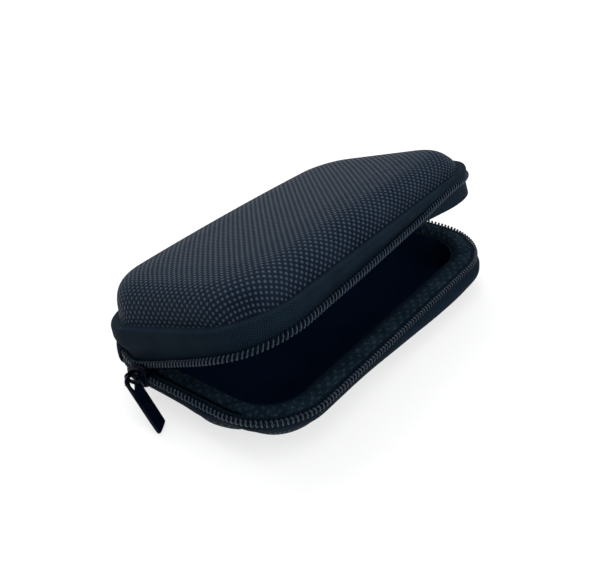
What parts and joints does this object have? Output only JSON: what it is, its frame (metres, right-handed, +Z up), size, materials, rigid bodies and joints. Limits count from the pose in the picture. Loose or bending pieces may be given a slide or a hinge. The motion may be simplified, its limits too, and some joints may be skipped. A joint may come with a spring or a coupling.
{
  "type": "moulded zip travel case",
  "caption": "Small semi-hard clamshell case with a woven cover, a lined hollow in each half, a zip round three sides and a fabric hinge behind, lid ajar.",
  "frame": {"origin": "centre of the flat bottom that the case rests on", "axes": "+X along the case away from the slider's end, +Y from the open front to the hinge, +Z up"},
  "size_m": [0.1437, 0.0827, 0.0549],
  "materials": {
    "woven_cover": "coarse woven nylon, satin",
    "foam": "moulded foam, matte",
    "pile_lining": "short velvet pile",
    "rim_knit": "brushed knit",
    "zip_tape": "fine twill tape, matte",
    "coil_nylon": "glossy monofilament",
    "black_metal": "glossy black enamel"
  },
  "bodies": {
    "base": {"base_cover": "woven_cover", "base_shell": "foam", "base_lining": "pile_lining", "base_rim_pad": "rim_knit", "base_tape": "zip_tape", "base_coil": "coil_nylon", "base_hinge_leaf": "zip_tape", "chain_left": "coil_nylon", "chain_right": "coil_nylon", "zip_end_left": "zip_tape", "zip_end_right": "zip_tape"},
    "lid": {"lid_cover": "woven_cover", "lid_shell": "foam", "lid_lining": "pile_lining", "lid_rim_pad": "rim_knit", "lid_tape": "zip_tape", "lid_coil": "coil_nylon", "lid_hinge_leaf": "zip_tape"},
    "slider": {"slider_body": "black_metal", "slider_bridge": "black_metal", "slider_pawl": "black_metal"},
    "puller": {"puller_tab": "black_metal"}
  },
  "joints": [
    {"name": "lid_hinge", "type": "hinge", "parent": "base", "child": "lid", "pos_m": [0, 0.0404, 0.015], "axis": [-1, 0, 0], "range_deg": [-20.4, 69.6]},
    {"name": "slider_run", "type": "slide", "parent": "base", "child": "slider", "axis": [0, -1, 0], "range_m": [0, 0.0318]},
    {"name": "puller_swing", "type": "hinge", "parent": "slider", "child": "puller", "pos_m": [-0.0727, 0.0159, 0.015], "axis": [0, 1, 0], "range_deg": [-5, 150]}
  ]
}
